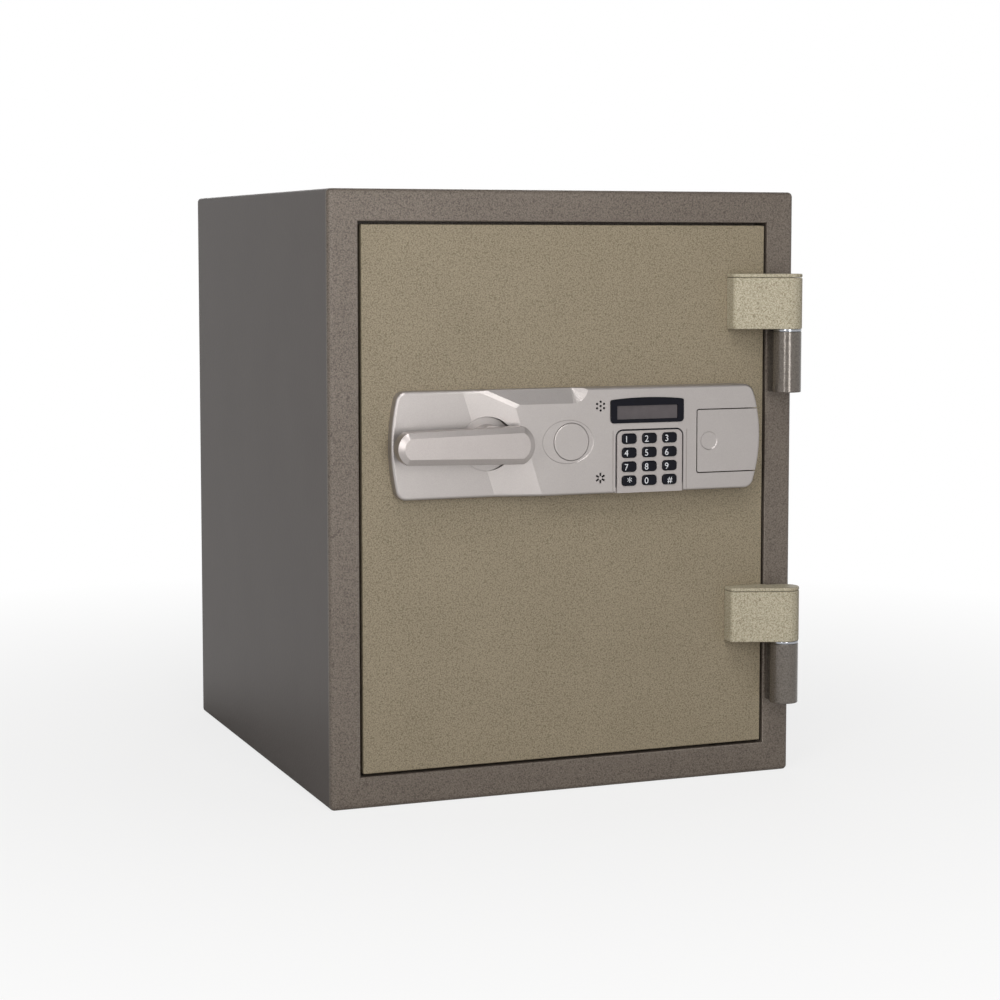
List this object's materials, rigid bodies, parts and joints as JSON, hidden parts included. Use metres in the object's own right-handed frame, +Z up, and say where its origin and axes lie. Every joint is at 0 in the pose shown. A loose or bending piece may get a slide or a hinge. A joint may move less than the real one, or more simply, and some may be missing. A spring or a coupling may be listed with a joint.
{
  "type": "fireproof safe",
  "caption": "Fireproof home safe: insulated steel cabinet, hinged door with lever handle, electronic keypad lock, sliding bolts and inner shelf.",
  "frame": {"origin": "middle of the cabinet's underside", "axes": "+X to the right seen from the front, +Y from the door to the back, +Z up"},
  "size_m": [0.415, 0.463, 0.5],
  "materials": {
    "body_paint": "smooth satin paint",
    "frame_paint": "fine hammered satin paint",
    "fire_fill": "cast gypsum and cement fill",
    "liner_paint": "smooth light grey paint",
    "seal_rubber": "matt intumescent strip",
    "zinc_steel": "zinc plated",
    "barrel_paint": "glossy fine hammered paint",
    "bright_steel": "turned and ground",
    "washer_chrome": "polished",
    "door_paint": "hammered satin paint",
    "block_paint": "coarse hammered satin paint",
    "silver_plastic": "silver lacquer, satin",
    "bezel_plastic": "glossy",
    "window_plastic": "clear cover over a grey display",
    "grey_plastic": "moulded",
    "keypad_plastic": "silver lacquer, satin",
    "circuit_board": "solder mask",
    "black_plastic": "moulded",
    "cell_sleeve": "printed sleeve without any words",
    "lock_brass": "turned",
    "coil_case": "moulded",
    "cable_sheath": "PVC",
    "lever_silver": "silver lacquer, satin",
    "key_plastic": "glossy with plain white numbers"
  },
  "bodies": {
    "cabinet": {"outer_shell": "body_paint", "back_panel": "body_paint", "front_frame": "frame_paint", "body_insulation": "fire_fill", "inner_liner": "liner_paint", "door_seal": "seal_rubber", "shelf": "liner_paint", "shelf_brackets": "zinc_steel", "anchor_sleeves": "zinc_steel", "bolt_keepers": "zinc_steel", "upper_frame_barrel": "barrel_paint", "lower_frame_barrel": "barrel_paint", "hinge_pins": "bright_steel", "hinge_washers": "washer_chrome"},
    "door": {"door_skin": "door_paint", "door_insulation": "fire_fill", "lock_plate": "zinc_steel", "door_tray": "liner_paint", "door_back_cover": "liner_paint", "cover_screws": "zinc_steel", "upper_hinge_block": "block_paint", "lower_hinge_block": "block_paint", "hinge_block_caps": "block_paint", "hinge_side_bolts": "bright_steel", "guide_studs": "bright_steel", "panel_housing": "silver_plastic", "display_bezel": "bezel_plastic", "display_window": "window_plastic", "display_module": "grey_plastic", "keypad_plate": "keypad_plastic", "circuit_board": "circuit_board", "buzzers": "black_plastic", "battery_tray": "black_plastic", "batteries": "cell_sleeve", "lock_cylinder": "lock_brass", "handle_rosette": "silver_plastic", "spindle_bush": "lock_brass", "solenoid": "coil_case", "lock_cable": "cable_sheath"},
    "handle": {"handle_lever": "lever_silver", "handle_spindle": "bright_steel", "crank": "zinc_steel"},
    "boltwork": {"bolt_bar": "zinc_steel", "lock_bolts": "bright_steel"},
    "plunger": {"plunger": "bright_steel"},
    "key_plug": {"key_plug": "bright_steel"},
    "key_cap": {"key_cap": "silver_plastic"},
    "battery_cover": {"battery_cover": "silver_plastic"},
    "key_1": {"key_1": "key_plastic"},
    "key_2": {"key_2": "key_plastic"},
    "key_3": {"key_3": "key_plastic"},
    "key_4": {"key_4": "key_plastic"},
    "key_5": {"key_5": "key_plastic"},
    "key_6": {"key_6": "key_plastic"},
    "key_7": {"key_7": "key_plastic"},
    "key_8": {"key_8": "key_plastic"},
    "key_9": {"key_9": "key_plastic"},
    "key_star": {"key_star": "key_plastic"},
    "key_0": {"key_0": "key_plastic"},
    "key_hash": {"key_hash": "key_plastic"}
  },
  "joints": [
    {"name": "door_swing", "type": "hinge", "parent": "cabinet", "child": "door", "pos_m": [0.193, -0.2305, 0.25], "axis": [0, 0, 1], "range_deg": [0, 180]},
    {"name": "handle_turn", "type": "hinge", "parent": "door", "child": "handle", "pos_m": [-0.077, -0.2435, 0.2944], "axis": [0, -1, 0], "range_deg": [0, 60]},
    {"name": "bolts_slide", "type": "slide", "parent": "door", "child": "boltwork", "axis": [-1, 0, 0], "range_m": [0, 0.0202]},
    {"name": "plunger_slide", "type": "slide", "parent": "door", "child": "plunger", "axis": [0, 0, -1], "range_m": [0, 0.0071]},
    {"name": "plug_turn", "type": "hinge", "parent": "door", "child": "key_plug", "pos_m": [-0.0055, -0.2255, 0.2944], "axis": [0, -1, 0], "range_deg": [0, 90]},
    {"name": "cap_pull", "type": "slide", "parent": "door", "child": "key_cap", "axis": [0, -1, 0], "range_m": [0, 0.025]},
    {"name": "battery_cover_slide", "type": "slide", "parent": "door", "child": "battery_cover", "axis": [1, 0, 0], "range_m": [0, 0.055]},
    {"name": "key_1_press", "type": "slide", "parent": "door", "child": "key_1", "axis": [0, 1, 0], "range_m": [0, 0.001], "stiffness_N_per_m": 300, "springref_m": -0.0005},
    {"name": "key_2_press", "type": "slide", "parent": "door", "child": "key_2", "axis": [0, 1, 0], "range_m": [0, 0.001], "stiffness_N_per_m": 300, "springref_m": -0.0005},
    {"name": "key_3_press", "type": "slide", "parent": "door", "child": "key_3", "axis": [0, 1, 0], "range_m": [0, 0.001], "stiffness_N_per_m": 300, "springref_m": -0.0005},
    {"name": "key_4_press", "type": "slide", "parent": "door", "child": "key_4", "axis": [0, 1, 0], "range_m": [0, 0.001], "stiffness_N_per_m": 300, "springref_m": -0.0005},
    {"name": "key_5_press", "type": "slide", "parent": "door", "child": "key_5", "axis": [0, 1, 0], "range_m": [0, 0.001], "stiffness_N_per_m": 300, "springref_m": -0.0005},
    {"name": "key_6_press", "type": "slide", "parent": "door", "child": "key_6", "axis": [0, 1, 0], "range_m": [0, 0.001], "stiffness_N_per_m": 300, "springref_m": -0.0005},
    {"name": "key_7_press", "type": "slide", "parent": "door", "child": "key_7", "axis": [0, 1, 0], "range_m": [0, 0.001], "stiffness_N_per_m": 300, "springref_m": -0.0005},
    {"name": "key_8_press", "type": "slide", "parent": "door", "child": "key_8", "axis": [0, 1, 0], "range_m": [0, 0.001], "stiffness_N_per_m": 300, "springref_m": -0.0005},
    {"name": "key_9_press", "type": "slide", "parent": "door", "child": "key_9", "axis": [0, 1, 0], "range_m": [0, 0.001], "stiffness_N_per_m": 300, "springref_m": -0.0005},
    {"name": "key_star_press", "type": "slide", "parent": "door", "child": "key_star", "axis": [0, 1, 0], "range_m": [0, 0.001], "stiffness_N_per_m": 300, "springref_m": -0.0005},
    {"name": "key_0_press", "type": "slide", "parent": "door", "child": "key_0", "axis": [0, 1, 0], "range_m": [0, 0.001], "stiffness_N_per_m": 300, "springref_m": -0.0005},
    {"name": "key_hash_press", "type": "slide", "parent": "door", "child": "key_hash", "axis": [0, 1, 0], "range_m": [0, 0.001], "stiffness_N_per_m": 300, "springref_m": -0.0005}
  ],
  "couplings": [
    {"joint": "bolts_slide", "follows": "handle_turn", "m_per_rad": 0.019099},
    {"joint": "plunger_slide", "follows": "handle_turn", "m_per_rad": 0.0066845}
  ]
}
